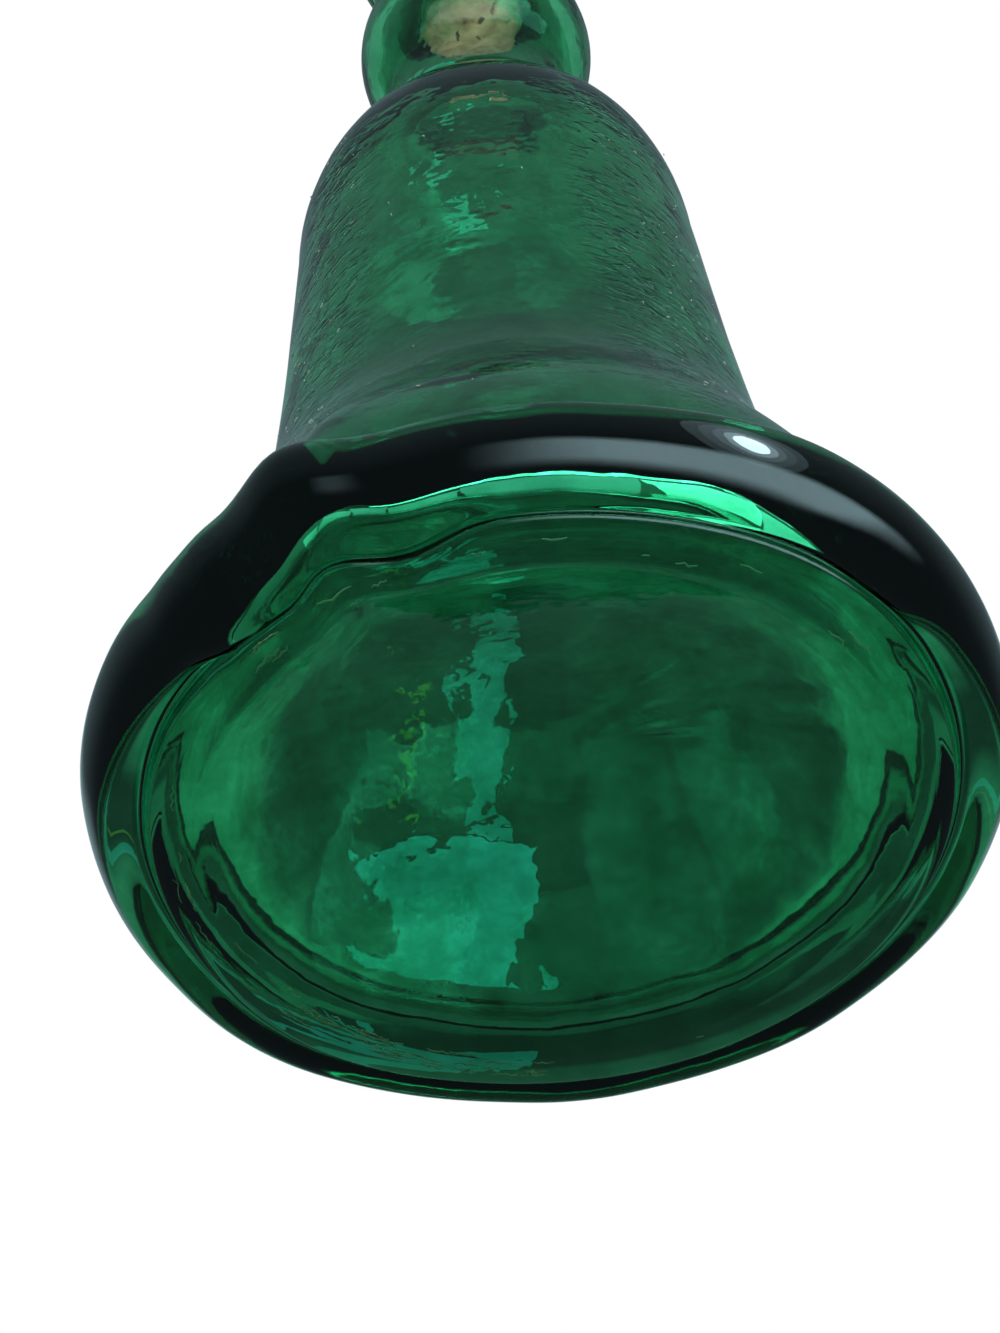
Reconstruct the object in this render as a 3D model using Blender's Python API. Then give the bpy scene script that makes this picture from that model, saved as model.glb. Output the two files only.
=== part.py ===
"""A bell-shaped bottle of hand-blown green glass, closed by a cork.

The blown body has a foot that flares like a bell and a domed push-up under it. A thick coil of
glass runs round the edge of the foot, with a lump where its two ends lap, and a thinner coil
makes the lip. Lengths are in metres and +Z is up. The origin is the middle of the ring that the
bottle stands on.
"""

import math

import bmesh
import bpy

# Foot: the coil round its edge, the flange that the coil holds, and the ring that it stands on
FOOT_DIAMETER = 0.100
FOOT_COIL_DEPTH = 0.009
FOOT_COIL_HEIGHT = 0.012
FOOT_COIL_BITE = 0.0034
FOOT_COIL_LIFT = 0.0009
FLANGE_EDGE_RADIUS = 0.0025
REST_RING_WIDTH = 0.0045
FLARE_HEIGHT = 0.034
FLARE_SOFTNESS = 0.0077

# Lap of the foot coil: its place round the foot, from +X, and how far the coil swells there.
# Beside the lap the drawn-out end of the coil is thinner.
LAP_ANGLE = math.radians(228)
LAP_WIDTH = math.radians(5.5)
LAP_SWELL = 0.0003
THIN_ANGLE = math.radians(219)
THIN_WIDTH = math.radians(12)
THIN_DEPTH = 0.0005

# Bell: the tapered body, the shoulder and the narrow waist
BODY_BASE_DIAMETER = 0.0651
BODY_TOP_DIAMETER = 0.0542
BODY_TOP_HEIGHT = 0.104
SHOULDER_RISE = 0.043
SHOULDER_FULLNESS = 0.026
WAIST_DIAMETER = 0.025
WAIST_HOLLOW = 0.019
WALL = 0.0032

# Base of the cavity: the domed push-up, the floor over it and the rounded heel
PUSH_UP_HEIGHT = 0.010
FLOOR_THICKNESS = 0.0045
HEEL_RADIUS = 0.005
HEEL_WALL = 0.0085
HEEL_WALL_FALL = 0.020

# Knop on the neck, the neck above it and the mouth. The knop stays round for KNOP_ROUND degrees
# above and below its middle, and the bore starts BORE_START knop diameters above that middle.
KNOP_DIAMETER = 0.0353
KNOP_RISE = 0.0177
KNOP_WALL = 0.0030
KNOP_ROUND = 34
NECK_RISE = 0.0406
NECK_WALL = 0.0028
BORE_START = 0.55
MOUTH_ROUND = 0.0010

# How firmly each curve leaves its end on the waist, the knop and the neck: the shares of the
# height between the two ends
WAIST_PULL = 0.45
KNOP_PULL_DOWN = 0.35
KNOP_PULL_UP = 0.50
NECK_PULL = 0.40

# Lip coil round the mouth
LIP_COIL_THICKNESS = 0.0068
LIP_COIL_BITE = 0.0022
LIP_COIL_DROP = 0.0042

# Tapered cork
CORK_LENGTH = 0.050
CORK_TOP_DIAMETER = 0.0222
CORK_BOTTOM_DIAMETER = 0.0160
CORK_PROUD = 0.014
CORK_CHAMFER = 0.0010

# Gaps left between pieces that touch
COIL_GAP = 0.0003
CORK_GAP = 0.0003

# Fineness of the round shapes: steps round the axis, points along each curve of an outline, and
# where the bell's rings lie as shares of its height
TURN_STEPS = 48
FOOT_COIL_STEPS = 96
COIL_SECTION_POINTS = 11
SHOULDER_POINTS = 9
KNOP_POINTS = 6
BEND_POINTS = 4
EDGE_POINTS = 3
FLOOR_POINTS = 5
PUSH_UP_POINTS = 6
CAVITY_LEVELS = (0.08, 0.16, 0.24, 0.34, 0.46, 0.66)
BELL_LEVELS = (0.66, 0.44, 0.34, 0.27, 0.21, 0.15, 0.08)
HEEL_TRIES = 30
MERGE_DISTANCE = 0.00001
SHARP_ANGLE = math.radians(40)

# Colours, and how the glass and the cork shine
BODY_COLOUR = (0.03, 0.16, 0.08)
FOOT_COIL_COLOUR = (0.01, 0.07, 0.04)
LIP_COIL_COLOUR = (0.02, 0.11, 0.06)
CORK_COLOUR = (0.35, 0.20, 0.10)
GLASS_ROUGHNESS = 0.05
CORK_ROUGHNESS = 0.85


def arc(centre, radius, start, end, count):
    """Points on a circle from the angle start to the angle end, both in degrees."""
    points = []
    for i in range(count):
        angle = math.radians(start + (end - start) * i / (count - 1))
        points.append((centre[0] + radius * math.cos(angle), centre[1] + radius * math.sin(angle)))
    return points


def bezier(a, b, c, d, count):
    """Points on the cubic curve from a to d that b and c pull towards themselves."""
    points = []
    for i in range(count):
        t = i / (count - 1)
        weights = ((1 - t) ** 3, 3 * t * (1 - t) ** 2, 3 * t * t * (1 - t), t ** 3)
        points.append(tuple(sum(w * p[k] for w, p in zip(weights, (a, b, c, d))) for k in (0, 1)))
    return points


# Foot: the coil is an oval bar, and the flange runs a little way into its inner side
coil_middle = (FOOT_DIAMETER - FOOT_COIL_DEPTH) / 2
coil_height = FOOT_COIL_HEIGHT / 2 + FOOT_COIL_LIFT
coil_seat = FOOT_DIAMETER / 2 - FOOT_COIL_DEPTH + FOOT_COIL_BITE
seat_angle = math.acos((coil_seat - coil_middle) / (FOOT_COIL_DEPTH / 2))
flange_radius = coil_seat - COIL_GAP
flange_top = coil_height + FOOT_COIL_HEIGHT / 2 * math.sin(seat_angle)
rest_outer = flange_radius - FLANGE_EDGE_RADIUS
rest_inner = rest_outer - REST_RING_WIDTH

# Heights of the waist, the knop and the mouth
waist_height = BODY_TOP_HEIGHT + SHOULDER_RISE
knop_height = waist_height + KNOP_RISE
mouth_height = knop_height + NECK_RISE

# Cork: its two ends, and the bore that fits it
cork_top = mouth_height + CORK_PROUD
cork_bottom = cork_top - CORK_LENGTH


def cork_radius(z):
    """The cork widens evenly from its bottom end to its top end."""
    share = (z - cork_bottom) / CORK_LENGTH
    return (CORK_BOTTOM_DIAMETER + (CORK_TOP_DIAMETER - CORK_BOTTOM_DIAMETER) * share) / 2


def bore_radius(z):
    """The bore follows the cork's taper and stays clear of it all round."""
    return cork_radius(z) + CORK_GAP


neck_radius = bore_radius(mouth_height) + NECK_WALL


def body_radius(z):
    """The plain taper of the body, without the flare of its foot."""
    share = (z - flange_top) / (BODY_TOP_HEIGHT - flange_top)
    return (BODY_BASE_DIAMETER + (BODY_TOP_DIAMETER - BODY_BASE_DIAMETER) * share) / 2


def bell_radius(z):
    """The outside of the bell: the taper, and a flare that fades out round FLARE_HEIGHT."""
    flare = flange_radius - body_radius(flange_top)
    fade = 1 + math.exp((flange_top - FLARE_HEIGHT) / FLARE_SOFTNESS)
    return body_radius(z) + flare * fade / (1 + math.exp((z - FLARE_HEIGHT) / FLARE_SOFTNESS))


# Push-up: a shallow dome inside the resting ring, with the floor over it on the same centre
dome_radius = (rest_inner ** 2 + PUSH_UP_HEIGHT ** 2) / (2 * PUSH_UP_HEIGHT)
dome_centre = PUSH_UP_HEIGHT - dome_radius
floor_radius = dome_radius + FLOOR_THICKNESS

# Heel: the round corner that touches both the floor and the inside of the wall
heel_height = flange_top
for _ in range(HEEL_TRIES):
    heel_middle = bell_radius(heel_height) - HEEL_WALL - HEEL_RADIUS
    heel_height = dome_centre + math.sqrt((floor_radius + HEEL_RADIUS) ** 2 - heel_middle ** 2)
heel_tilt = math.degrees(math.asin(heel_middle / (floor_radius + HEEL_RADIUS)))


def cavity_radius(z):
    """The inside of the bell: the outside less the wall, which thickens towards the heel."""
    extra = (HEEL_WALL - WALL) * math.exp((heel_height - z) / HEEL_WALL_FALL)
    return bell_radius(z) - WALL - extra


def neck_line(inset, knop_inset, neck_end):
    """The shoulder, waist and knop, seen from the axis, moved in by the wall's thickness."""
    body_top = (BODY_TOP_DIAMETER / 2 - inset, BODY_TOP_HEIGHT)
    waist = (WAIST_DIAMETER / 2 - inset, waist_height)
    shoulder = bezier(
        body_top,
        (body_top[0], BODY_TOP_HEIGHT + SHOULDER_FULLNESS - inset),
        (waist[0], waist_height - WAIST_HOLLOW - inset),
        waist,
        SHOULDER_POINTS,
    )
    knop_radius = KNOP_DIAMETER / 2 - knop_inset
    knop = arc((0, knop_height), knop_radius, -KNOP_ROUND, KNOP_ROUND, KNOP_POINTS)
    slope = (math.sin(math.radians(KNOP_ROUND)), math.cos(math.radians(KNOP_ROUND)))
    low, high = knop[0], knop[-1]
    rise = low[1] - waist_height
    pull = KNOP_PULL_DOWN * rise
    lead = bezier(
        waist,
        (waist[0], waist_height + WAIST_PULL * rise),
        (low[0] - pull * slope[0], low[1] - pull * slope[1]),
        low,
        BEND_POINTS,
    )
    run = neck_end[1] - high[1]
    pull = KNOP_PULL_UP * run
    tail = bezier(
        high,
        (high[0] - pull * slope[0], high[1] + pull * slope[1]),
        (neck_end[0], neck_end[1] - NECK_PULL * run),
        neck_end,
        BEND_POINTS,
    )
    return shoulder + lead[1:] + knop[1:] + tail[1:]


def body_outline():
    """Half of the body's section, from the floor's middle, up the inside and down the outside."""
    bore_start = knop_height + BORE_START * KNOP_DIAMETER
    floor = arc((0, dome_centre), floor_radius, 90, 90 - heel_tilt, FLOOR_POINTS)
    heel = arc((heel_middle, heel_height), HEEL_RADIUS, -90 - heel_tilt, 0, FLOOR_POINTS)
    inside = []
    for share in CAVITY_LEVELS:
        z = heel_height + (BODY_TOP_HEIGHT - heel_height) * share
        inside.append((cavity_radius(z), z))
    inner_neck = neck_line(WALL, KNOP_WALL, (bore_radius(bore_start), bore_start))
    mouth_in = bore_radius(mouth_height) + MOUTH_ROUND
    mouth_out = neck_radius - MOUTH_ROUND
    round_height = mouth_height - MOUTH_ROUND
    rim = arc((mouth_in, round_height), MOUTH_ROUND, 180, 90, EDGE_POINTS)
    rim += arc((mouth_out, round_height), MOUTH_ROUND, 90, 0, EDGE_POINTS)
    outer_neck = neck_line(0, 0, (neck_radius, bore_start + NECK_WALL))
    outside = []
    for share in BELL_LEVELS:
        z = flange_top + (BODY_TOP_HEIGHT - flange_top) * share
        outside.append((bell_radius(z), z))
    flange = [(flange_radius, flange_top)]
    flange += arc((rest_outer, FLANGE_EDGE_RADIUS), FLANGE_EDGE_RADIUS, 0, -90, EDGE_POINTS)
    flange.append((rest_inner, 0))
    dome_edge = math.degrees(math.asin(rest_inner / dome_radius))
    push_up = arc((0, dome_centre), dome_radius, 90 - dome_edge, 90, PUSH_UP_POINTS)
    up = floor + heel[1:] + inside + inner_neck
    down = outer_neck[::-1] + outside + flange + push_up[1:]
    return up + rim + down


def cork_outline():
    """Half of the cork's section, from its top middle down to its bottom middle."""
    top = cork_radius(cork_top)
    bottom = cork_radius(cork_bottom)
    return [
        (0, cork_top),
        (top - CORK_CHAMFER, cork_top),
        (top, cork_top - CORK_CHAMFER),
        (cork_radius(mouth_height), mouth_height),
        (bottom, cork_bottom + CORK_CHAMFER),
        (bottom - CORK_CHAMFER, cork_bottom),
        (0, cork_bottom),
    ]


def coil_section(middle, height, depth, rise, seat):
    """An oval bar's section with the flat that it keeps on its seat, from top to bottom."""
    half = math.degrees(math.acos((seat - middle) / (depth / 2)))
    circle = arc((0, 0), 1, half, -half, COIL_SECTION_POINTS)
    return [(middle + depth / 2 * x, height + rise / 2 * z) for x, z in circle]


def lip_outline():
    """The lip coil's section, closed along its seat on the neck."""
    seat = neck_radius + COIL_GAP
    middle = seat + LIP_COIL_THICKNESS / 2 - LIP_COIL_BITE
    height = mouth_height - LIP_COIL_DROP
    points = coil_section(middle, height, LIP_COIL_THICKNESS, LIP_COIL_THICKNESS, seat)
    return points + points[:1]


def finish(name, colour, roughness, transmission):
    """A plain material in the piece's colour."""
    material = bpy.data.materials.new(name)
    material.use_nodes = True
    shader = material.node_tree.nodes["Principled BSDF"]
    shader.inputs["Base Color"].default_value = (*colour, 1)
    shader.inputs["Roughness"].default_value = roughness
    shader.inputs["Metallic"].default_value = 0
    shader.inputs["Transmission Weight"].default_value = transmission
    return material


def place(name, mesh, material, height):
    """One named piece, shaded round, with its origin on the bottle's axis."""
    piece = bpy.data.objects.new(name, mesh)
    piece.location = (0, 0, height)
    bpy.context.scene.collection.objects.link(piece)
    mesh.materials.append(material)
    mesh.shade_smooth()
    mesh.set_sharp_from_angle(angle=SHARP_ANGLE)
    return piece


def turned(name, outline, material, height=0):
    """A piece turned about the bottle's axis from half of its section."""
    mesh = bpy.data.meshes.new(name)
    points = [(r, 0, z - height) for r, z in outline]
    mesh.from_pydata(points, [(i, i + 1) for i in range(len(points) - 1)], [])
    piece = place(name, mesh, material, height)
    screw = piece.modifiers.new("Turning", "SCREW")
    screw.axis = "Z"
    screw.angle = math.tau
    screw.steps = TURN_STEPS
    screw.render_steps = TURN_STEPS
    screw.use_merge_vertices = True
    screw.merge_threshold = MERGE_DISTANCE
    screw.use_smooth_shade = True
    return piece


def foot_coil(name, material):
    """The coil round the foot, thicker where its ends lap, with its flat side on the flange."""
    body = bmesh.new()
    rings = []
    for step in range(FOOT_COIL_STEPS):
        turn = math.tau * step / FOOT_COIL_STEPS
        swell = LAP_SWELL * math.exp(-((turn - LAP_ANGLE) / LAP_WIDTH) ** 2)
        swell -= THIN_DEPTH * math.exp(-((turn - THIN_ANGLE) / THIN_WIDTH) ** 2)
        depth = FOOT_COIL_DEPTH + 2 * swell
        rise = FOOT_COIL_HEIGHT + 2 * swell
        section = coil_section(coil_middle + swell, coil_height + swell, depth, rise, coil_seat)
        rings.append([body.verts.new((r * math.cos(turn), r * math.sin(turn), z)) for r, z in section])
    for ring, following in zip(rings, rings[1:] + rings[:1]):
        for i in range(COIL_SECTION_POINTS):
            j = (i + 1) % COIL_SECTION_POINTS
            body.faces.new((ring[i], ring[j], following[j], following[i]))
    bmesh.ops.recalc_face_normals(body, faces=body.faces)
    mesh = bpy.data.meshes.new(name)
    body.to_mesh(mesh)
    body.free()
    return place(name, mesh, material, 0)


for old in list(bpy.data.objects):
    bpy.data.objects.remove(old, do_unlink=True)

turned("bottle_body", body_outline(), finish("body_glass", BODY_COLOUR, GLASS_ROUGHNESS, 1))
foot_coil("foot_coil", finish("foot_coil_glass", FOOT_COIL_COLOUR, GLASS_ROUGHNESS, 1))
turned("lip_coil", lip_outline(), finish("lip_coil_glass", LIP_COIL_COLOUR, GLASS_ROUGHNESS, 1))
cork_finish = finish("cork_bark", CORK_COLOUR, CORK_ROUGHNESS, 0)
turned("cork_stopper", cork_outline(), cork_finish, cork_bottom)
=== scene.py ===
"""A bell-shaped bottle of hand-blown green glass on a pale floor, seen from below and in front.

The bottle stands on the flat ring under its foot, with its axis on +Z, and its cork is in the
neck. Lengths are in metres.
"""

import math

import bpy
import numpy as np
from mathutils import Matrix


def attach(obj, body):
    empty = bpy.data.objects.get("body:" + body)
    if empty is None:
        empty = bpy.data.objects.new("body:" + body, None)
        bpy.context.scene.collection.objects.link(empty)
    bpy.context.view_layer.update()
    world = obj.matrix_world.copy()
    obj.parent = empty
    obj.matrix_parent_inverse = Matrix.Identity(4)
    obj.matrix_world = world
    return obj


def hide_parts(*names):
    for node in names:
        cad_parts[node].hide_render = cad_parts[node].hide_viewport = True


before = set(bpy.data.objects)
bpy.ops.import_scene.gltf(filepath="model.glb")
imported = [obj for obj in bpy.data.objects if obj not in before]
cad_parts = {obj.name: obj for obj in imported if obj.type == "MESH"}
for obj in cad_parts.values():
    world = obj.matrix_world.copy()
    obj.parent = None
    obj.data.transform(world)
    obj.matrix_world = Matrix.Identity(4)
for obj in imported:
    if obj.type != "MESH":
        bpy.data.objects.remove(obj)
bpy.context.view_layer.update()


# Bottle glass. One blown vessel: a bell-shaped body with a domed push-up, a knop on its neck, and
# two coils of hot glass, a thick one round the foot and a thin one round the mouth, which have
# melted into it. Clear emerald glass, fire-polished, wavy where the tools touched it.

FOOT_RADIUS = 0.0498
COIL_DEPTH = 0.0120
COIL_LOW = 263
COIL_SLIM = 0.0080
COIL_SLIM_LOW = 240
THICK_FROM = (217, 229)
THICK_TO = (316, 334)
COIL_HEIGHT = 0.012
COIL_LIFT = 0.0009
FLANGE_RADIUS = 0.0441
FLANGE_ROUND = 0.0030
REST_OUTER = 0.0411
REST_INNER = 0.0371
FLARE_HEIGHT = 0.034
FLARE_SOFTNESS = 0.0077
LAP_TURN = 226
LAP_HALF = 6.0
LAP_SWELL = 0.0004
LAP_REACHES = ((246, 15, 0.0022), (227, 5, 0.0006))
FOOT_BULGES = ((134, 20, 0.0012), (312, 18, 0.0008), (244, 6.5, 0.0028), (222, 9, -0.0007))
FOLDS_TURN = 350
FOLDS_HALF = 45
BODY_FOOT_RADIUS = 0.03255
BODY_TOP_RADIUS = 0.0271
BODY_TOP = 0.104
WAIST_RADIUS = 0.0125
WAIST_HEIGHT = 0.147
SHOULDER_FULLNESS = 0.026
WAIST_HOLLOW = 0.019
WALL = 0.0032
TOP_WALL = 0.0023
DOME_RISE = 0.010
FLOOR_THICKNESS = 0.0038
HEEL_START = 0.0315
HEEL_REACH = 0.0055
HEEL_RADIUS = 0.0415
HEEL_LOW = 0.0058
HEEL_HIGH = 0.0092
HEEL_FADE = 0.020
KNOP_RADIUS = 0.01765
KNOP_HEIGHT = 0.1647
KNOP_WALL = 0.0030
KNOP_HALF = 34
BORE_START = 0.1841
MOUTH_HEIGHT = 0.2053
MOUTH_ROUND = 0.0010
NECK_RADIUS = 0.01333
NECK_WALL = 0.0028
LIP_RADIUS = 0.0034
LIP_MIDDLE = 0.0148
LIP_HEIGHT = 0.2011
CORK_LOW = 0.1693
CORK_HIGH = 0.2193
CORK_LOW_RADIUS = 0.0080
CORK_HIGH_RADIUS = 0.0111
CORK_CLEARANCE = 0.0003
STEPS_ROUND = 256


def arc(middle, radius, start, end, count):
    """Points on a circle: the middle plus the radius times cosine and sine of an angle that runs
    evenly from start to end, in degrees."""
    turn = np.radians(np.linspace(start, end, count))
    return np.column_stack((middle[0] + radius * np.cos(turn), middle[1] + radius * np.sin(turn)))


def bend(a, b, c, d, count):
    """A cubic curve from a to d. At the share t each point weighs in by the terms of
    (1 - t + t) cubed, so b and c pull the curve towards themselves."""
    t = np.linspace(0, 1, count)[:, None]
    a, b, c, d = (np.asarray(p, float) for p in (a, b, c, d))
    return (1 - t) ** 3 * a + 3 * t * (1 - t) ** 2 * b + 3 * t * t * (1 - t) * c + t ** 3 * d


FLANGE_TOP = 0.01272


def bell_radius(z):
    """An even taper, plus a flare that fades as one over one plus e to the height over the
    flare's middle."""
    share = (z - FLANGE_TOP) / (BODY_TOP - FLANGE_TOP)
    taper = BODY_FOOT_RADIUS + (BODY_TOP_RADIUS - BODY_FOOT_RADIUS) * share
    fade = 1 + math.exp((FLANGE_TOP - FLARE_HEIGHT) / FLARE_SOFTNESS)
    flare = (FLANGE_RADIUS - BODY_FOOT_RADIUS) * fade
    return taper + flare / (1 + np.exp((z - FLARE_HEIGHT) / FLARE_SOFTNESS))


def bore_radius(z):
    """The cork's straight taper, plus its clearance."""
    share = (z - CORK_LOW) / (CORK_HIGH - CORK_LOW)
    return CORK_LOW_RADIUS + (CORK_HIGH_RADIUS - CORK_LOW_RADIUS) * share + CORK_CLEARANCE


dome_radius = (REST_INNER ** 2 + DOME_RISE ** 2) / (2 * DOME_RISE)
dome_middle = DOME_RISE - dome_radius
floor_radius = dome_radius + FLOOR_THICKNESS
heel_slope = HEEL_START / floor_radius
heel_floor = np.array((HEEL_START, dome_middle + math.sqrt(floor_radius ** 2 - HEEL_START ** 2)))
heel_wall = bell_radius(HEEL_HIGH) - HEEL_RADIUS


def upper_line(inset, knop_inset, end, counts):
    """Shoulder, waist, knop and the run into the neck: three cubic curves and an arc, all moved
    towards the axis by the thickness of the wall."""
    top = (BODY_TOP_RADIUS - inset, BODY_TOP)
    waist = (WAIST_RADIUS - inset, WAIST_HEIGHT)
    shoulder = bend(
        top,
        (top[0], BODY_TOP + SHOULDER_FULLNESS - inset),
        (waist[0], WAIST_HEIGHT - WAIST_HOLLOW - inset),
        waist,
        counts[0],
    )
    knop = arc((0, KNOP_HEIGHT), KNOP_RADIUS - knop_inset, -KNOP_HALF, KNOP_HALF, counts[2])
    slope = np.array((math.sin(math.radians(KNOP_HALF)), math.cos(math.radians(KNOP_HALF))))
    rise = knop[0][1] - WAIST_HEIGHT
    lead = bend(
        waist, (waist[0], WAIST_HEIGHT + 0.45 * rise), knop[0] - 0.35 * rise * slope, knop[0], counts[1]
    )
    run = end[1] - knop[-1][1]
    lean = np.array((-slope[0], slope[1]))
    tail = bend(knop[-1], knop[-1] + 0.5 * run * lean, (end[0], end[1] - 0.4 * run), end, counts[3])
    return np.concatenate((shoulder, lead[1:], knop[1:], tail[1:]))


def glass_section(coil_depth, coil_low):
    """The whole closed section, from the middle of the push-up, up the outside to the mouth and
    down the inside to the middle of the floor. Returns its points and the name of each one's
    region. The parts are worked out from the floor and turned round at the end."""
    floor_end = 90 - math.degrees(math.asin(heel_slope))
    parts = [("floor", arc((0, dome_middle), floor_radius, 90, floor_end, 18)[1:])]
    ahead = heel_floor + HEEL_REACH * np.array((math.sqrt(1 - heel_slope ** 2), -heel_slope))
    heel = bend(heel_floor, ahead, (HEEL_RADIUS, HEEL_LOW), (HEEL_RADIUS, HEEL_HIGH), 18)
    parts.append(("heel", heel[1:]))
    z = np.linspace(HEEL_HIGH, BODY_TOP, 46)[1:-1]
    extra = (heel_wall - WALL) * np.exp((HEEL_HIGH - z) / HEEL_FADE)
    extra -= (WALL - TOP_WALL) * (z - HEEL_HIGH) / (BODY_TOP - HEEL_HIGH)
    parts.append(("inside", np.column_stack((bell_radius(z) - WALL - extra, z))))
    bore = (bore_radius(BORE_START), BORE_START)
    parts.append(("inside neck", upper_line(TOP_WALL, KNOP_WALL, bore, (22, 8, 12, 8))))
    z = np.linspace(BORE_START, MOUTH_HEIGHT - MOUTH_ROUND, 8)[1:-1]
    parts.append(("bore", np.column_stack((bore_radius(z), z))))
    level = MOUTH_HEIGHT - MOUTH_ROUND
    inner = bore_radius(MOUTH_HEIGHT) + MOUTH_ROUND
    parts.append(("bore", arc((inner, level), MOUTH_ROUND, 180, 90, 5)))
    lip = arc((LIP_MIDDLE, LIP_HEIGHT), LIP_RADIUS, 112, -128, 20)
    rim = (NECK_RADIUS - 0.0004, MOUTH_HEIGHT)
    rim_pull = (rim[0] + 0.0006, rim[1])
    parts.append(("rim", bend(rim, rim_pull, lip[0] + (-0.0003, 0.0004), lip[0], 5)))
    parts.append(("lip", lip[1:]))
    neck = (NECK_RADIUS, BORE_START + NECK_WALL)
    fillet = (NECK_RADIUS, lip[-1][1] - 0.0012)
    fillet_pull = (fillet[0], fillet[1] + 0.0005)
    under_lip = bend(lip[-1], lip[-1] + (-0.0002, -0.0004), fillet_pull, fillet, 5)
    parts.append(("lip", under_lip[1:]))
    z = np.linspace(fillet[1], neck[1], 8)[1:-1]
    parts.append(("outside neck", np.column_stack((NECK_RADIUS + 0 * z, z))))
    parts.append(("outside neck", upper_line(0, 0, neck, (30, 10, 18, 12))[::-1]))
    middle = (FOOT_RADIUS - coil_depth / 2, COIL_HEIGHT / 2 + COIL_LIFT)
    half = np.array((coil_depth / 2, COIL_HEIGHT / 2))
    coil = np.array(middle) + half * arc((0, 0), 1, 90, coil_low - 360, 34)
    z = np.linspace(BODY_TOP, coil[0][1] + 0.0018, 56)[1:]
    parts.append(("bell", np.column_stack((bell_radius(z), z))))
    start = parts[-1][1][-1]
    crease = bend(start, start + (0.00015, -0.0014), coil[0] + (-0.0004, -0.0001), coil[0], 6)
    parts.append(("crease", crease[1:-1]))
    parts.append(("coil", coil))
    edge = arc((REST_OUTER, FLANGE_ROUND), FLANGE_ROUND, -62, -90, 6)
    groove = bend(coil[-1], coil[-1] + (-0.0006, 0.0004), edge[0] + (0.0002, 0.0007), edge[0], 6)
    parts.append(("groove", groove[1:-1]))
    parts.append(("edge", edge))
    parts.append(("rest", np.column_stack((np.linspace(REST_OUTER, REST_INNER, 6)[1:], np.zeros(5)))))
    dome_start = 90 - math.degrees(math.asin(REST_INNER / dome_radius))
    dome = arc((0, dome_middle), dome_radius, dome_start, 90, 26)
    parts.append(("dome", dome[1:-1]))
    names = np.concatenate([np.full(len(points), name) for name, points in parts])
    return np.concatenate([points for _, points in parts])[::-1], names[::-1]


def hills(points, size, seed):
    """Smooth random hills, from -1 to 1: random heights on the corners of a grid of cells of that
    size, and between the corners a blend of them weighted by 6t^5 - 15t^4 + 10t^3 along each
    side."""
    heights = np.random.default_rng(seed).uniform(-1, 1, (32, 32, 32))
    place = points / np.asarray(size) + 100
    corner = np.floor(place).astype(int)
    t = place - corner
    t = t * t * t * (t * (6 * t - 15) + 10)
    total = np.zeros(points.shape[:-1])
    for i in range(8):
        step = np.array((i & 1, i >> 1 & 1, i >> 2 & 1))
        weight = np.where(step == 1, t, 1 - t).prod(-1)
        index = (corner + step) % 32
        total += weight * heights[index[..., 0], index[..., 1], index[..., 2]]
    return total


def near(turn, middle, half, power):
    """One close to a direction round the axis and nothing away from it: e to minus the distance
    in degrees over half a width, to an even power."""
    distance = (np.degrees(turn) - middle + 180) % 360 - 180
    return np.exp(-(distance / half) ** power)


def smooth(value, low, high):
    """Rises from 0 at low to 1 at high, as 3t^2 - 2t^3."""
    t = np.clip((value - low) / (high - low), 0, 1)
    return t * t * (3 - 2 * t)


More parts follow.
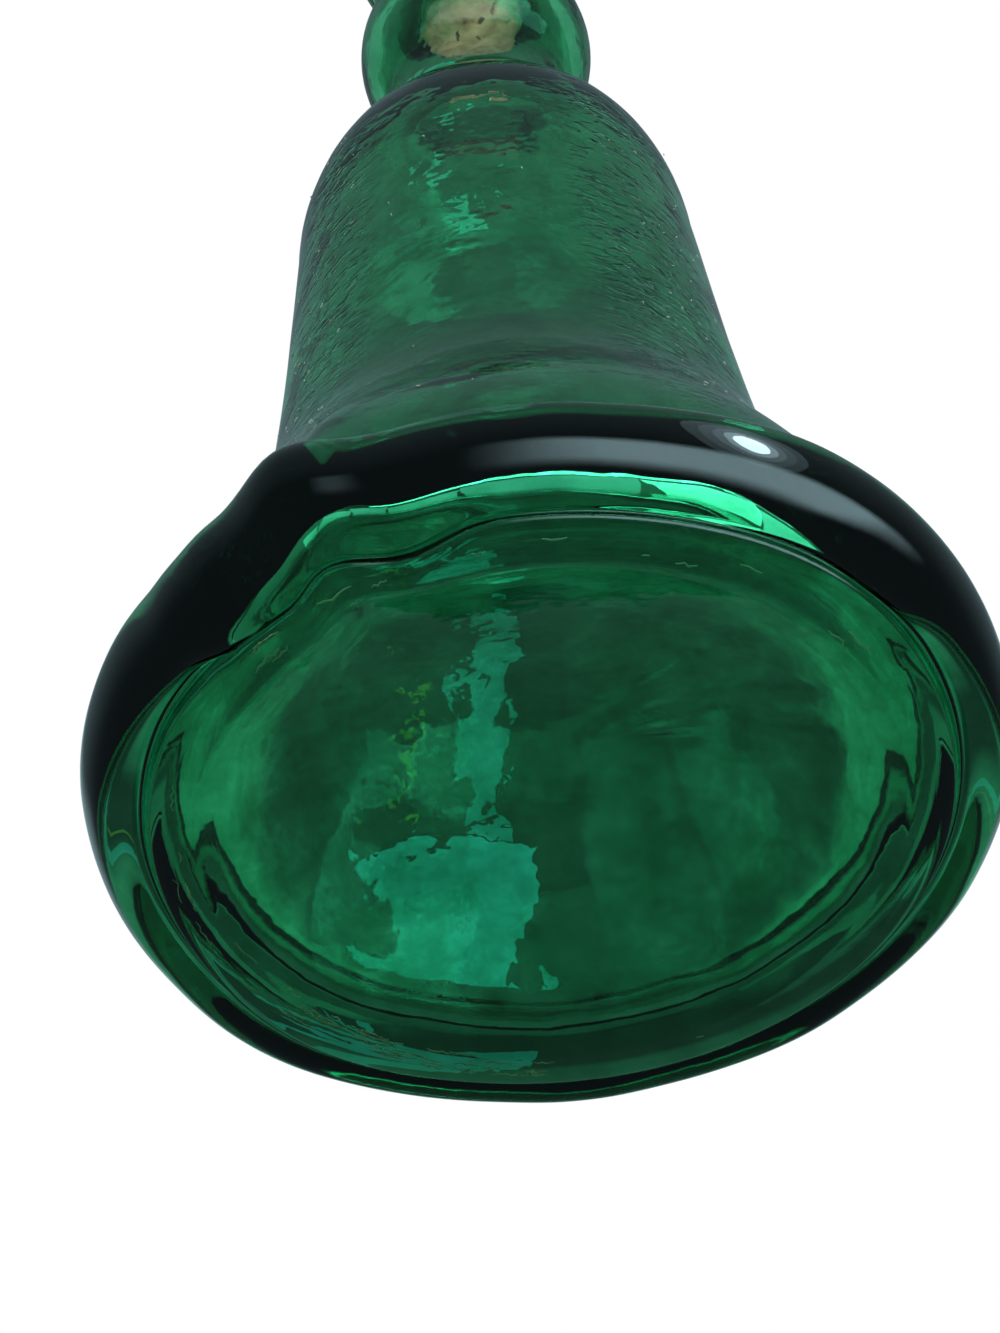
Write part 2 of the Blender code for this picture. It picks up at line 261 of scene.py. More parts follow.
def glass_points(turn):
    """Carries the section round the axis. The coil is thick from its lap to the right of the front
    and slimmer elsewhere, so two sections blend. Each point is then moved along the section's own
    normal by the waves of the surface, and on the foot by the shape of the coil."""
    degrees = np.degrees(turn)
    thick = smooth(degrees, *THICK_FROM) * (1 - smooth(degrees, *THICK_TO))
    r = z = out_r = out_z = 0
    sections = ((COIL_DEPTH, COIL_LOW, thick), (COIL_SLIM, COIL_SLIM_LOW, 1 - thick))
    for depth, low, weight in sections:
        section, names = glass_section(depth, low)
        before, after = np.roll(section, 1, 0), np.roll(section, -1, 0)
        before[0], after[-1] = (0, section[0][1]), (0, section[-1][1])
        along = after - before
        along /= np.linalg.norm(along, axis=1)[:, None]
        r = r + section[:, :1] * weight
        z = z + section[:, 1:] * weight
        out_r = out_r + along[:, 1:] * weight
        out_z = out_z - along[:, :1] * weight
    place = np.stack((r * np.cos(turn), r * np.sin(turn), z), -1)

    def region(*wanted):
        return np.isin(names, wanted).astype(float)[:, None]

    inside = region("inside", "inside neck") * np.clip((0.176 - z) / 0.006, 0, 1)
    outside = region("bell", "outside neck")
    outer_waves = 0.00003 * hills(place, (0.005, 0.005, 0.007), 1) + 0.00010 * hills(place, 0.013, 2)
    inner_waves = 0.00010 * hills(place, (0.005, 0.005, 0.008), 3) + 0.00025 * hills(place, 0.014, 4)
    floor_waves = 0.00022 * hills(place, 0.009, 5) + 0.00007 * hills(place, 0.0035, 8)
    shift = outside * outer_waves + inside * inner_waves + region("floor", "heel") * floor_waves
    along_turn = (turn + math.pi) % math.tau * 0.083 * np.ones_like(r)
    folds = hills(np.stack((r, along_turn, 0 * r), -1), 0.010, 9) * near(turn, FOLDS_TURN, FOLDS_HALF, 4)
    shift += region("floor") * 0.00020 * folds * smooth(r, 0.008, 0.014)
    shift += region("dome") * 0.00010 * hills(place, 0.008, 6) * np.clip((REST_INNER - r) / 0.006, 0, 1)
    shift += region("coil", "crease") * 0.00014 * hills(place, 0.012, 7)
    lap = near(turn, LAP_TURN, LAP_HALF, 4) * LAP_SWELL
    shift += (region("coil") + 0.7 * region("groove", "crease") + 0.3 * region("edge")) * lap
    r = r + shift * out_r
    z = np.where(names[:, None] == "dome", z, np.maximum(z, 0)) + shift * out_z
    z = np.maximum(z, np.where(region("coil", "groove", "crease") > 0, 0.0002, 0))
    foot = np.clip((0.040 - z) / 0.025, 0, 1) * np.clip((r - 0.030) / 0.012, 0, 1)
    inward = smooth(r, 0.0370, 0.0415) * (1 - smooth(r, 0.0445, 0.0490)) * (z < 0.0075)
    under = region("coil", "groove", "edge", "rest", "dome")
    for middle, half, size in LAP_REACHES:
        r = r - size * under * inward * near(turn, middle, half, 4)
    for middle, half, size in FOOT_BULGES:
        r = r + size * foot * near(turn, middle, half, 2)
    return r, z


def closed_mesh(name, r, z, turn, low, high):
    """A mesh from a grid of radii and heights, one row for each point of the section and one
    column for each turn. A point on the axis closes each end with a fan of triangles."""
    rows, columns = r.shape
    grid = np.stack((r * np.cos(turn), r * np.sin(turn), z), -1).reshape(-1, 3)
    points = np.concatenate((grid, [(0, 0, low), (0, 0, high)]))
    i, j = np.meshgrid(np.arange(rows - 1), np.arange(columns), indexing="ij")
    k = (j + 1) % columns
    quads = np.stack((i * columns + j, i * columns + k, (i + 1) * columns + k, (i + 1) * columns + j), -1)
    first = np.arange(columns)
    second = (first + 1) % columns
    last = (rows - 1) * columns
    fan_low = np.column_stack((np.full(columns, rows * columns), second, first))
    fan_high = np.column_stack((np.full(columns, rows * columns + 1), last + first, last + second))
    faces = quads.reshape(-1, 4).tolist() + fan_low.tolist() + fan_high.tolist()
    mesh = bpy.data.meshes.new(name)
    mesh.from_pydata(points.tolist(), [], faces)
    mesh.shade_smooth()
    mesh.update()
    return mesh


turns = np.linspace(0, math.tau, STEPS_ROUND, endpoint=False)
radii, heights = glass_points(turns)
mesh = closed_mesh("bottle_glass", radii, heights, turns, DOME_RISE, dome_middle + floor_radius)
bottle_glass = bpy.data.objects.new("bottle_glass", mesh)
bpy.context.scene.collection.objects.link(bottle_glass)


def paint(mesh, name, values, middle):
    """Keeps a level for each point of the grid on the mesh, and one for the two end points."""
    values = np.append(values.ravel(), (middle, middle)).astype(np.float32)
    mesh.attributes.new(name, "FLOAT", "POINT").data.foreach_set("value", values)


TOOLED_ZONES = ((222, 13), (312, 17))
# A small spot where the glass's tint goes very dark, on the outside of the flare to the right of the
# front.
DARK_SPOT_TURN = 293.5
DARK_SPOT_HALF = 3.8
DARK_SPOT_HEIGHT = 0.037
DARK_SPOT_TALL = 0.0050

zones = sum(near(turns, middle, half, 4) for middle, half in TOOLED_ZONES)
sides = smooth(heights, 0.020, 0.032) * smooth(-heights, -0.135, -0.115) * (radii > 0.0255)
paint(mesh, "tooled", zones * sides, 0)
paint(mesh, "rippled", np.where(radii > 0.0405, 0.2, 0.9) + 0.1 * smooth(heights, 0.014, 0.030), 0.9)
dark_spot = near(turns, DARK_SPOT_TURN, DARK_SPOT_HALF, 4) * np.exp(-((heights - DARK_SPOT_HEIGHT) / DARK_SPOT_TALL) ** 4)
paint(mesh, "dark_spot", dark_spot * (radii > bell_radius(heights) - 0.0016), 0)

GLASS_DEEP = (0.14, 0.58, 0.39, 1)
GLASS_PALE = (0.30, 0.84, 0.64, 1)
GLASS_DARK_SPOT = (0.001, 0.07, 0.001, 1)
GLASS_COLOUR = (0.0, 0.50, 0.37, 1)
GLASS_DENSITY = 200
GLASS_IOR = 1.52
GLASS_IN_SHADOW = (0.8, 0.92, 0.87, 1)
FILM_SCALE = 130
RIPPLE_SCALE = 230
RIPPLE_DEPTH = 0.00010
CHATTER_SCALE = 340
CHATTER_DEPTH = -0.00018

material = bpy.data.materials.new("emerald_glass")
material.use_nodes = True
nodes, links = material.node_tree.nodes, material.node_tree.links
shader = nodes["Principled BSDF"]
shader.inputs["Roughness"].default_value = 0.02
shader.inputs["IOR"].default_value = GLASS_IOR
shader.inputs["Transmission Weight"].default_value = 1
place = nodes.new("ShaderNodeTexCoord")
film = nodes.new("ShaderNodeTexNoise")
film.inputs["Scale"].default_value = FILM_SCALE
film.inputs["Detail"].default_value = 5
film.inputs["Roughness"].default_value = 0.6
links.new(place.outputs["Object"], film.inputs["Vector"])
tone = nodes.new("ShaderNodeValToRGB")
tone.color_ramp.elements[0].position = 0.41
tone.color_ramp.elements[0].color = GLASS_DEEP
tone.color_ramp.elements[1].position = 0.59
tone.color_ramp.elements[1].color = GLASS_PALE
links.new(film.outputs["Fac"], tone.inputs["Fac"])
# Darkens the glass's tint in the one small spot on the flare.
dark_spot_level = nodes.new("ShaderNodeAttribute")
dark_spot_level.attribute_name = "dark_spot"
tint = nodes.new("ShaderNodeMix")
tint.data_type = "RGBA"
tint.inputs["B"].default_value = GLASS_DARK_SPOT
links.new(dark_spot_level.outputs["Fac"], tint.inputs["Factor"])
links.new(tone.outputs["Color"], tint.inputs["A"])
links.new(tint.outputs["Result"], shader.inputs["Base Color"])
ripples = nodes.new("ShaderNodeTexNoise")
ripples.inputs["Scale"].default_value = RIPPLE_SCALE
ripples.inputs["Detail"].default_value = 2
links.new(place.outputs["Object"], ripples.inputs["Vector"])
stretch = nodes.new("ShaderNodeMapping")
stretch.inputs["Rotation"].default_value = (0.3, 0.35, 0)
stretch.inputs["Scale"].default_value = (1, 1, 2.6)
links.new(place.outputs["Object"], stretch.inputs["Vector"])
chatter = nodes.new("ShaderNodeTexNoise")
chatter.inputs["Scale"].default_value = CHATTER_SCALE
chatter.inputs["Detail"].default_value = 1
links.new(stretch.outputs["Vector"], chatter.inputs["Vector"])
dashes = nodes.new("ShaderNodeMapRange")
dashes.interpolation_type = "SMOOTHSTEP"
dashes.inputs["From Min"].default_value = 0.54
dashes.inputs["From Max"].default_value = 0.64
links.new(chatter.outputs["Fac"], dashes.inputs["Value"])
marks = (
    (ripples.outputs["Fac"], "rippled", RIPPLE_DEPTH),
    (dashes.outputs["Result"], "tooled", CHATTER_DEPTH),
)
depths = []
for source, name, depth in marks:
    where = nodes.new("ShaderNodeAttribute")
    where.attribute_name = name
    share = nodes.new("ShaderNodeMath")
    share.operation = "MULTIPLY"
    links.new(source, share.inputs[0])
    links.new(where.outputs["Fac"], share.inputs[1])
    scaled = nodes.new("ShaderNodeMath")
    scaled.operation = "MULTIPLY"
    scaled.inputs[1].default_value = depth
    links.new(share.outputs[0], scaled.inputs[0])
    depths.append(scaled.outputs[0])
surface = nodes.new("ShaderNodeMath")
links.new(depths[0], surface.inputs[0])
links.new(depths[1], surface.inputs[1])
texture = nodes.new("ShaderNodeBump")
texture.inputs["Strength"].default_value = 1
texture.inputs["Distance"].default_value = 1
links.new(surface.outputs[0], texture.inputs["Height"])
links.new(texture.outputs["Normal"], shader.inputs["Normal"])
through = nodes.new("ShaderNodeBsdfTransparent")
through.inputs["Color"].default_value = GLASS_IN_SHADOW
path = nodes.new("ShaderNodeLightPath")
lamp_rays = nodes.new("ShaderNodeMixShader")
links.new(path.outputs["Is Shadow Ray"], lamp_rays.inputs["Fac"])
links.new(shader.outputs["BSDF"], lamp_rays.inputs[1])
links.new(through.outputs["BSDF"], lamp_rays.inputs[2])
links.new(lamp_rays.outputs["Shader"], nodes["Material Output"].inputs["Surface"])
absorption = nodes.new("ShaderNodeVolumeAbsorption")
absorption.inputs["Color"].default_value = GLASS_COLOUR
absorption.inputs["Density"].default_value = GLASS_DENSITY
links.new(absorption.outputs["Volume"], nodes["Material Output"].inputs["Volume"])
bottle_glass.data.materials.append(material)

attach(bottle_glass, "bottle")
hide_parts("bottle_body", "foot_coil", "lip_coil")


# Wear. Tan scuffs on the ring that the bottle stands on, and pale specks of lime on the bell, each
# a thin sliver that lies on the glass.

SCUFF_DEPTH = 0.00006
SCUFFS = ((46, 95, 142), (26, 60, 330))
SPECKS = ((60, 200, 232), (45, 305, 338), (9, 240, 295))
SCUFF_COLOUR = (0.75, 0.66, 0.46, 1)
SPECK_COLOUR = (0.30, 0.38, 0.32, 1)


def slivers(name, middles, widths, thickness, colour):
    """Thin closed slivers. Each row of middles holds the points of one sliver's line, and
    widths the vectors from it to its side. The width is that of a half circle, so the sliver
    tapers to both ends."""
    count, steps = middles.shape[:2]
    taper = np.sqrt(1 - np.linspace(-0.95, 0.95, steps) ** 2)[None, :, None]
    side = widths * taper
    corners = [middles + side + thickness, middles - side + thickness]
    corners += [middles - side - thickness, middles + side - thickness]
    points = np.stack(corners, 2).reshape(-1, 3)
    base = np.arange(count)[:, None, None] * steps * 4 + np.arange(steps - 1)[None, :, None] * 4
    k = np.arange(4)[None, None, :]
    n = (k + 1) % 4
    around = np.stack((base + k, base + n, base + n + 4, base + k + 4), -1).reshape(-1, 4)
    first = np.arange(count)[:, None] * steps * 4
    ends = np.concatenate((first + (3, 2, 1, 0), first + (steps - 1) * 4 + np.arange(4)))
    mesh = bpy.data.meshes.new(name)
    mesh.from_pydata(points.tolist(), [], around.tolist() + ends.tolist())
    mesh.update()
    sliver_object = bpy.data.objects.new(name, mesh)
    bpy.context.scene.collection.objects.link(sliver_object)
    material = bpy.data.materials.new(name)
    material.use_nodes = True
    shader = material.node_tree.nodes["Principled BSDF"]
    shader.inputs["Base Color"].default_value = colour
    shader.inputs["Roughness"].default_value = 0.9
    mesh.materials.append(material)
    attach(sliver_object, "bottle")


def ring_scuffs():
    """Short lines round the resting ring, on arcs of a little more or less than its radius."""
    rng = np.random.default_rng(31)
    turn = np.radians(np.concatenate([rng.uniform(low, high, count) for count, low, high in SCUFFS]))
    radius = rng.uniform(REST_INNER + 0.0004, REST_OUTER - 0.0004, len(turn))
    half = rng.uniform(0.0004, 0.0022, len(turn)) / radius
    along = turn[:, None] + half[:, None] * np.linspace(-1, 1, 6)
    drift = radius[:, None] + rng.normal(0, 0.00012, (len(turn), 6))
    middles = np.stack((drift * np.cos(along), drift * np.sin(along), np.full(along.shape, 0.0001)), -1)
    across = np.stack((np.cos(along), np.sin(along), 0 * along), -1)
    return middles, across * rng.uniform(0.00004, 0.00012, len(turn))[:, None, None]


def bell_specks():
    """Short lines at any slant on the side of the bell."""
    rng = np.random.default_rng(32)
    turn = np.radians(np.concatenate([rng.uniform(low, high, count) for count, low, high in SPECKS]))
    height = rng.uniform(0.024, 0.112, len(turn))
    slant = rng.uniform(0, math.pi, len(turn))
    half = rng.uniform(0.00008, 0.00035, len(turn))
    steps = np.linspace(-1, 1, 4)
    z = height[:, None] + (half * np.sin(slant))[:, None] * steps
    low = bell_radius(np.minimum(z, BODY_TOP))
    r = low + 0.00008
    along = turn[:, None] + (half * np.cos(slant))[:, None] * steps / r
    middles = np.stack((r * np.cos(along), r * np.sin(along), z), -1)
    sideways = np.stack((-np.sin(along), np.cos(along), 0 * along), -1) * -np.sin(slant)[:, None, None]
    upwards = np.array((0, 0, 1)) * np.cos(slant)[:, None, None]
    return middles, (sideways + upwards) * rng.uniform(0.00003, 0.00008, len(turn))[:, None, None]


middles, across = ring_scuffs()
thickness = np.array((0, 0, SCUFF_DEPTH))
slivers("ring_scuffs", middles, across, thickness, SCUFF_COLOUR)
middles, across = bell_specks()
outwards = middles * (1, 1, 0)
outwards /= np.linalg.norm(outwards, axis=-1)[..., None]
slivers("lime_specks", middles, across, SCUFF_DEPTH * outwards, SPECK_COLOUR)


# Cork. A plug cut from the bark of the cork oak and turned to a taper, with dark pores where the
# bark breathed. It is pushed into the mouth and lifts straight out.

CORK_EDGE = 0.0010
PIT_DEPTH = 0.0007
BARK_DARK = (0.40, 0.22, 0.11, 1)
BARK_LIGHT = (0.62, 0.40, 0.23, 1)
BARK_PORE = (0.10, 0.045, 0.02, 1)


def cork_points(turn):
    """A straight taper between two rounded edges, with pits where hills of the bark's grain are
    high."""
    low = arc((CORK_LOW_RADIUS - CORK_EDGE, CORK_LOW + CORK_EDGE), CORK_EDGE, -90, 0, 6)
    high = arc((CORK_HIGH_RADIUS - CORK_EDGE, CORK_HIGH - CORK_EDGE), CORK_EDGE, 0, 90, 6)
    side = low[-1] + (high[0] - low[-1]) * np.linspace(0, 1, 120)[:, None]
    under = np.column_stack((np.linspace(0, low[0][0], 22)[1:-1], np.full(20, CORK_LOW)))
    over = np.column_stack((np.linspace(high[-1][0], 0, 28)[1:-1], np.full(26, CORK_HIGH)))
    section = np.concatenate((under, low, side[1:-1], high, over))
    r = np.repeat(section[:, :1], len(turn), 1)
    z = np.repeat(section[:, 1:], len(turn), 1)
    place = np.stack((r * np.cos(turn), r * np.sin(turn), z), -1)
    pits = np.clip(hills(place, (0.0010, 0.0018, 0.0010), 11) - 0.55, 0, 1)
    pits += np.clip(hills(place, (0.0007, 0.0011, 0.0007), 12) - 0.5, 0, 1) * 0.5
    shrink = 1 - pits * PIT_DEPTH / np.maximum(r, 0.004)
    middle = (CORK_LOW + CORK_HIGH) / 2
    return r * shrink, middle + (z - middle) * (1 - pits * PIT_DEPTH / 0.025)


cork_turns = np.linspace(0, math.tau, 200, endpoint=False)
cork_r, cork_z = cork_points(cork_turns)
cork_mesh = closed_mesh("cork", cork_r, cork_z, cork_turns, CORK_LOW, CORK_HIGH)
cork = bpy.data.objects.new("cork", cork_mesh)
bpy.context.scene.collection.objects.link(cork)

material = bpy.data.materials.new("cork_bark")
material.use_nodes = True
nodes, links = material.node_tree.nodes, material.node_tree.links
shader = nodes["Principled BSDF"]
shader.inputs["Roughness"].default_value = 0.85
place = nodes.new("ShaderNodeTexCoord")
grain = nodes.new("ShaderNodeTexNoise")
grain.inputs["Scale"].default_value = 420
grain.inputs["Detail"].default_value = 5
links.new(place.outputs["Object"], grain.inputs["Vector"])
tone = nodes.new("ShaderNodeValToRGB")
tone.color_ramp.elements[0].position = 0.35
tone.color_ramp.elements[0].color = BARK_DARK
tone.color_ramp.elements[1].position = 0.65
tone.color_ramp.elements[1].color = BARK_LIGHT
links.new(grain.outputs["Fac"], tone.inputs["Fac"])
stretch = nodes.new("ShaderNodeMapping")
stretch.inputs["Scale"].default_value = (1, 0.45, 1)
links.new(place.outputs["Object"], stretch.inputs["Vector"])
pores = nodes.new("ShaderNodeTexNoise")
pores.inputs["Scale"].default_value = 520
pores.inputs["Detail"].default_value = 1
links.new(stretch.outputs["Vector"], pores.inputs["Vector"])
spots = nodes.new("ShaderNodeMapRange")
spots.interpolation_type = "SMOOTHSTEP"
spots.inputs["From Min"].default_value = 0.63
spots.inputs["From Max"].default_value = 0.70
links.new(pores.outputs["Fac"], spots.inputs["Value"])
bark = nodes.new("ShaderNodeMix")
bark.data_type = "RGBA"
links.new(spots.outputs["Result"], bark.inputs["Factor"])
links.new(tone.outputs["Color"], bark.inputs[6])
bark.inputs[7].default_value = BARK_PORE
links.new(bark.outputs[2], shader.inputs["Base Color"])
cork.data.materials.append(material)

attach(cork, "cork")
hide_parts("cork_stopper")


# Floor. A plain pale disc that the bottle stands on. Its underside is clear, because the camera
# looks up through it, and the camera alone sees its upper side lit a little more.

FLOOR_SIZE = 4.0
FLOOR_GLOW = 0.42
angles = np.linspace(0, math.tau, 128, endpoint=False)
floor_mesh = bpy.data.meshes.new("floor")
floor_level = np.full(128, -0.0003)
floor_rim = np.column_stack((FLOOR_SIZE * np.cos(angles), FLOOR_SIZE * np.sin(angles), floor_level))
floor_mesh.from_pydata(floor_rim.tolist(), [], [list(range(128))])
floor = bpy.data.objects.new("floor", floor_mesh)
bpy.context.scene.collection.objects.link(floor)
material = bpy.data.materials.new("pale_floor")
material.use_nodes = True
nodes, links = material.node_tree.nodes, material.node_tree.links
shader = nodes["Principled BSDF"]
shader.inputs["Base Color"].default_value = (0.82, 0.82, 0.82, 1)
shader.inputs["Roughness"].default_value = 0.9
shader.inputs["Emission Color"].default_value = (1, 1, 1, 1)
clear = nodes.new("ShaderNodeBsdfTransparent")
geometry = nodes.new("ShaderNodeNewGeometry")
path = nodes.new("ShaderNodeLightPath")
seen = nodes.new("ShaderNodeMath")
seen.operation = "MULTIPLY"
seen.inputs[1].default_value = FLOOR_GLOW
links.new(path.outputs["Is Camera Ray"], seen.inputs[0])
links.new(seen.outputs[0], shader.inputs["Emission Strength"])
glassy = nodes.new("ShaderNodeMath")
glassy.operation = "MAXIMUM"
links.new(path.outputs["Is Transmission Ray"], glassy.inputs[0])
links.new(path.outputs["Is Glossy Ray"], glassy.inputs[1])
hidden = nodes.new("ShaderNodeMath")
hidden.operation = "MAXIMUM"
links.new(geometry.outputs["Backfacing"], hidden.inputs[0])
links.new(glassy.outputs[0], hidden.inputs[1])
side = nodes.new("ShaderNodeMixShader")
links.new(hidden.outputs[0], side.inputs["Fac"])
links.new(shader.outputs["BSDF"], side.inputs[1])
links.new(clear.outputs["BSDF"], side.inputs[2])
links.new(side.outputs["Shader"], nodes["Material Output"].inputs["Surface"])
floor.data.materials.append(material)


# Light. The camera sees a white surround. Glass sees a darker room with a pale card on each side.
# Reflections see a dim room, less dim high up behind, with one card far brighter than white low in
# front on the right. Large soft lamps stand for windows, and small ones close by each make one
# feature of the photo.

world = bpy.data.worlds.new("studio")
bpy.context.scene.world = world
world.use_nodes = True
nodes, links = world.node_tree.nodes, world.node_tree.links
surround = nodes["Background"]
surround.inputs["Color"].default_value = (0.90, 0.95, 1, 1)
surround.inputs["Strength"].default_value = 0.40
direction = nodes.new("ShaderNodeTexCoord")
parts = nodes.new("ShaderNodeSeparateXYZ")
links.new(direction.outputs["Generated"], parts.inputs[0])


def step(value, low, high, low_result, high_result):
    """A soft step of a value, from one result to another."""
    node = nodes.new("ShaderNodeMapRange")
    node.interpolation_type = "SMOOTHSTEP"
    node.inputs["From Min"].default_value = low
    node.inputs["From Max"].default_value = high
    node.inputs["To Min"].default_value = low_result
    node.inputs["To Max"].default_value = high_result
    links.new(value, node.inputs["Value"])
    return node.outputs["Result"]


def blend(share, first, second):
    """A mix of two levels by a share."""
    node = nodes.new("ShaderNodeMix")
    links.new(share, node.inputs["Factor"])
    for socket, value in ((node.inputs[2], first), (node.inputs[3], second)):
        if isinstance(value, float):
            socket.default_value = value
        else:
            links.new(value, socket)
    return node.outputs[0]


def times(*values):
    """The product of several levels."""
    total = values[0]
    for value in values[1:]:
        node = nodes.new("ShaderNodeMath")
        node.operation = "MULTIPLY"
        links.new(total, node.inputs[0])
        links.new(value, node.inputs[1])
        total = node.outputs[0]
    return total


sideways = nodes.new("ShaderNodeMath")
sideways.operation = "ABSOLUTE"
links.new(parts.outputs["X"], sideways.inputs[0])
room = step(sideways.outputs[0], 0.10, 0.36, 0.15, 0.85)
room = blend(step(parts.outputs["Z"], 0.77, 0.86, 0.0, 1.0), room, 0.36)
room = blend(step(parts.outputs["Z"], -0.10, 0.05, 1.0, 0.0), room, 0.35)
cards = nodes.new("ShaderNodeBackground")
cards.inputs["Color"].default_value = (0.80, 1, 0.78, 1)
links.new(room, cards.inputs["Strength"])
pale = nodes.new("ShaderNodeBackground")
pale.inputs["Color"].default_value = (1, 1, 1, 1)
pale.inputs["Strength"].default_value = 1.0
path = nodes.new("ShaderNodeLightPath")
gloss = nodes.new("ShaderNodeBackground")
gloss.inputs["Color"].default_value = (0.60, 0.92, 1, 1)
low_front = times(
    step(parts.outputs["Z"], -0.88, -0.60, 0.0, 1.0),
    step(parts.outputs["Z"], -0.22, 0.0, 1.0, 0.0),
    step(parts.outputs["Y"], -0.25, -0.02, 1.0, 0.0),
    step(parts.outputs["X"], -0.20, 0.35, 0.0, 1.0),
)
around = step(parts.outputs["Z"], -0.20, 0.60, 0.12, 0.22)
far_high = times(
    step(parts.outputs["Y"], 0.54, 0.66, 0.0, 1.0),
    step(parts.outputs["Z"], 0.10, 0.40, 0.0, 1.0),
)
around = blend(far_high, around, 0.55)
links.new(blend(low_front, around, 4.5), gloss.inputs["Strength"])
bounced = nodes.new("ShaderNodeMixShader")
links.new(path.outputs["Is Glossy Ray"], bounced.inputs["Fac"])
links.new(surround.outputs["Background"], bounced.inputs[1])
links.new(gloss.outputs["Background"], bounced.inputs[2])
choice = nodes.new("ShaderNodeMixShader")
links.new(path.outputs["Is Transmission Ray"], choice.inputs["Fac"])
links.new(bounced.outputs["Shader"], choice.inputs[1])
links.new(cards.outputs["Background"], choice.inputs[2])
backdrop = nodes.new("ShaderNodeMixShader")
links.new(path.outputs["Is Camera Ray"], backdrop.inputs["Fac"])
links.new(choice.outputs["Shader"], backdrop.inputs[1])
links.new(pale.outputs["Background"], backdrop.inputs[2])
links.new(backdrop.outputs["Shader"], nodes["World Output"].inputs["Surface"])


def lamp(name, place, target, width, height, strength, colour):
    """A soft oblong lamp at a place, turned to face a target. Its strength is that of its face,
    where 1 is white, so its power is four times its area times that."""
    light = bpy.data.lights.new(name, "AREA")
    light.shape = "RECTANGLE"
    light.size, light.size_y = width, height
    light.energy = 4 * width * height * strength
    light.color = colour
    obj = bpy.data.objects.new(name, light)
    bpy.context.scene.collection.objects.link(obj)
    away = np.subtract(place, target)
    away /= np.linalg.norm(away)
    side = np.cross((0, 0, 1), away)
    side /= np.linalg.norm(side)
    rise = np.cross(away, side)
    columns = np.column_stack((side, rise, away, place))
    obj.matrix_world = Matrix(np.vstack((columns, (0, 0, 0, 1))).tolist())
    obj.visible_camera = False
    return obj


def lamp_towards(name, turn, rise, distance, width, height, strength, colour):
    """A lamp that faces the bottle's foot from a direction given by a turn and a rise, in
    degrees."""
    turn, rise = math.radians(turn), math.radians(rise)
    away = np.array((math.cos(rise) * math.cos(turn), math.cos(rise) * math.sin(turn), math.sin(rise)))
    foot = np.array((0, 0, 0.01))
    return lamp(name, foot + distance * away, foot, width, height, strength, colour)


# Windows a metre away round the front, and small lamps just over the coil that fill the bright
# crescent inside it. Reflections see neither.
PALE = (0.97, 1, 1)
windows = [
    lamp_towards("side_window", -152, 0, 1.0, 0.50, 0.60, 2.0, PALE),
    lamp_towards("left_window", -118, 8, 1.0, 0.60, 0.60, 1.6, PALE),
    lamp_towards("front_window", -83, 16, 1.0, 0.58, 0.50, 1.6, PALE),
    lamp_towards("right_window", -48, 16, 1.0, 0.54, 0.42, 5.5, PALE),
    lamp_towards("end_window", -22, 12, 1.0, 0.36, 0.36, 3.5, PALE),
]
RIM_LAMP_TURNS = (259, 269, 279, 290, 300)
RIM_LAMP_RADIUS = 0.0486
RIM_LAMP_HEIGHT = 0.0185
for turn in RIM_LAMP_TURNS:
    spot = RIM_LAMP_RADIUS * np.array((math.cos(math.radians(turn)), math.sin(math.radians(turn)), 0))
    place = spot + (0, 0, RIM_LAMP_HEIGHT)
    rim_lamp = lamp("rim_lamp_%d" % turn, place, spot * 1.0001, 0.0104, 0.0066, 6.5, PALE)
    rim_lamp.visible_diffuse = False
    windows.append(rim_lamp)
for window in windows:
    window.visible_glossy = False

# A window close to the coil, in nested steps that fade outwards, and two pinkish ones in front of
# the knop. They are seen only as reflections.
RIM_SPOT = np.array((0.0217, -0.0426, 0.009))
SPOT_DIRECTION = np.array((0.653, -0.676, 0.342))
near_spot = RIM_SPOT + 0.060 * SPOT_DIRECTION
SPOTS = (
    (0.010, 0.030, 15),
    (0.015, 0.042, 3),
    (0.021, 0.056, 1.2),
    (0.028, 0.072, 0.7),
    (0.036, 0.090, 0.4),
)
glints = [
    lamp("round_window_%d" % i, near_spot, RIM_SPOT, width, height, strength, (0.62, 0.90, 1))
    for i, (width, height, strength) in enumerate(SPOTS)
]
glints += [
    lamp("knop_glow", (0.004, -0.110, 0.155), (0, 0, 0.300), 0.13, 0.10, 0.6, (1, 0.70, 0.62)),
    lamp("knop_haze", (0.004, -0.111, 0.155), (0, 0, 0.300), 0.20, 0.15, 0.5, (1, 0.74, 0.68)),
]
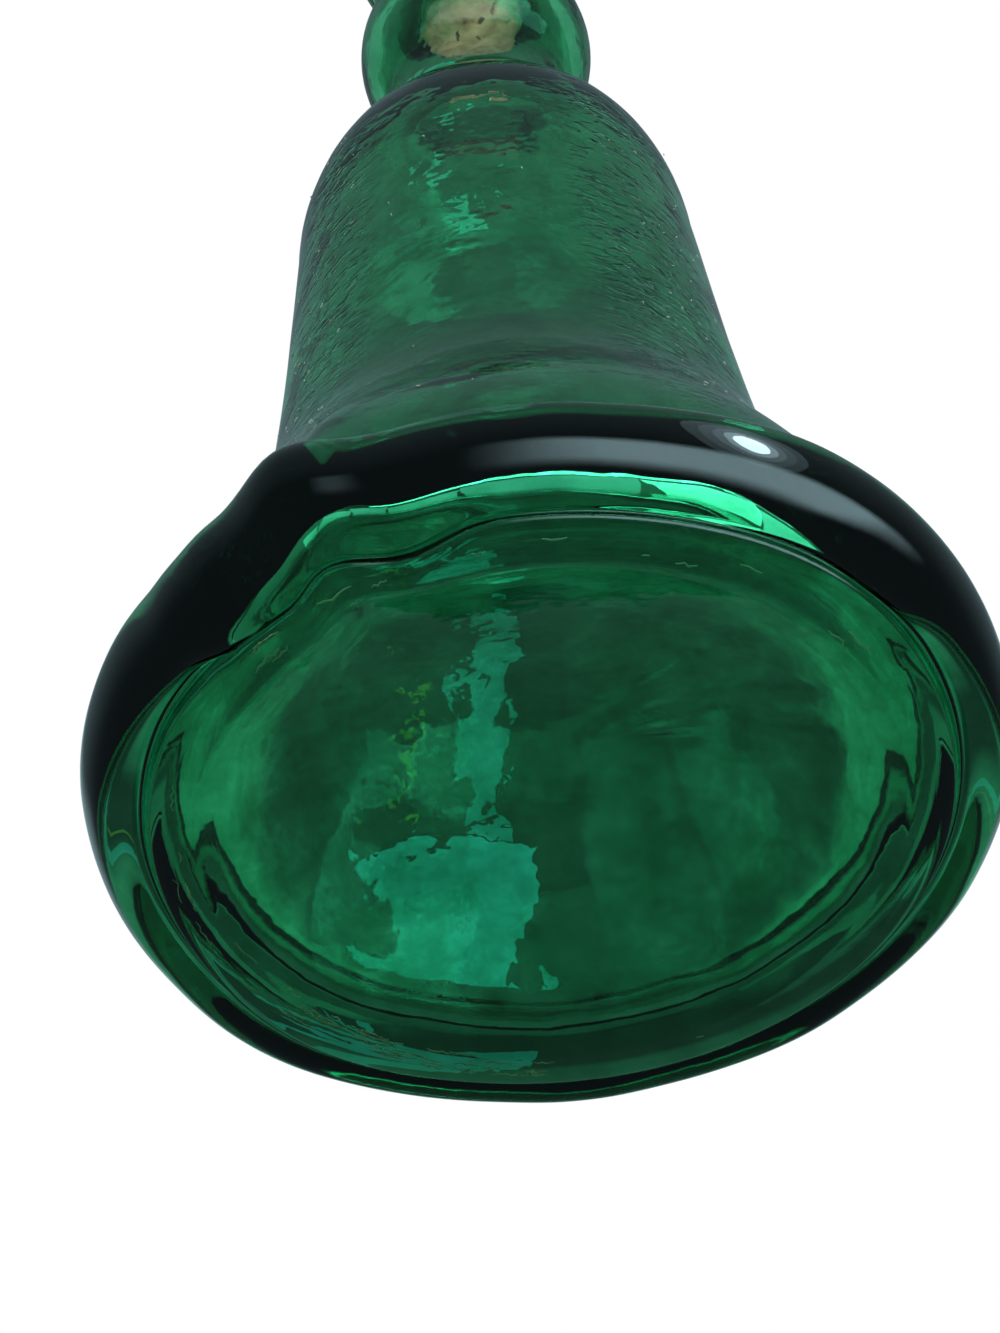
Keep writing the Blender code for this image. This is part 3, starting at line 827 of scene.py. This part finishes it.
cork_glow = lamp("cork_glow", (0, -0.002, 0.157), (0, 0, 0.1693), 0.011, 0.011, 9.5, (1, 0.37, 0.47))
cork_glow.visible_glossy = False  # It sits in the knop, lights the cork from below and is not seen.
cork_glow.visible_transmission = False
for glint in glints:
    glint.data.shape = "ELLIPSE"
    glint.visible_transmission = False
    glint.visible_diffuse = False

# Coloured lamps behind the bottle, for the teal and olive shapes seen through it, and a pale one
# above them.
DOOR = (0.20, 0.80, 1)
AMBER = (1, 0.42, 0.05)
lamp("door_strip", (-0.0130, 0.12, 0.153), (-0.0130, 0, 0.153), 0.0095, 0.066, 0.50, DOOR)
lamp("door_foot", (-0.0200, 0.12, 0.0965), (-0.0200, 0, 0.0965), 0.028, 0.043, 0.62, DOOR)
lamp("door_side", (-0.038, 0.12, 0.0820), (-0.038, 0, 0.0820), 0.010, 0.008, 0.70, DOOR)
lamp("door_edge", (-0.0290, 0.12, 0.147), (-0.0290, 0, 0.147), 0.0024, 0.036, 0.8, AMBER)
lamp("roof_light", (-0.012, 0.084, 0.27), (-0.012, 0.02, 0.20), 0.016, 0.014, 0.8, (0.6, 0.85, 1))


# Camera. It looks up at the foot from below and in front, close by, and is rolled a few degrees,
# so that the foot fills the frame and the bell narrows away from it.

LENS = 67.5
CAMERA_PLACE = (0, -0.19126, -0.18198)
CAMERA_FORWARD = (-0.015, 0.6755, 0.7372)
CAMERA_RIGHT = (0.9947, 0.0851, -0.0578)

camera_data = bpy.data.cameras.new("camera")
camera_data.sensor_width = 36
camera_data.lens = LENS
camera_data.clip_start = 0.005
camera = bpy.data.objects.new("camera", camera_data)
bpy.context.scene.collection.objects.link(camera)
forward = np.array(CAMERA_FORWARD)
forward /= np.linalg.norm(forward)
right = np.array(CAMERA_RIGHT)
right -= forward * (right @ forward)
right /= np.linalg.norm(right)
up = np.cross(right, forward)
columns = np.column_stack((right, up, -forward, CAMERA_PLACE))
camera.matrix_world = Matrix(np.vstack((columns, (0, 0, 0, 1))).tolist())
bpy.context.scene.camera = camera

bpy.context.scene.view_settings.view_transform = "Standard"
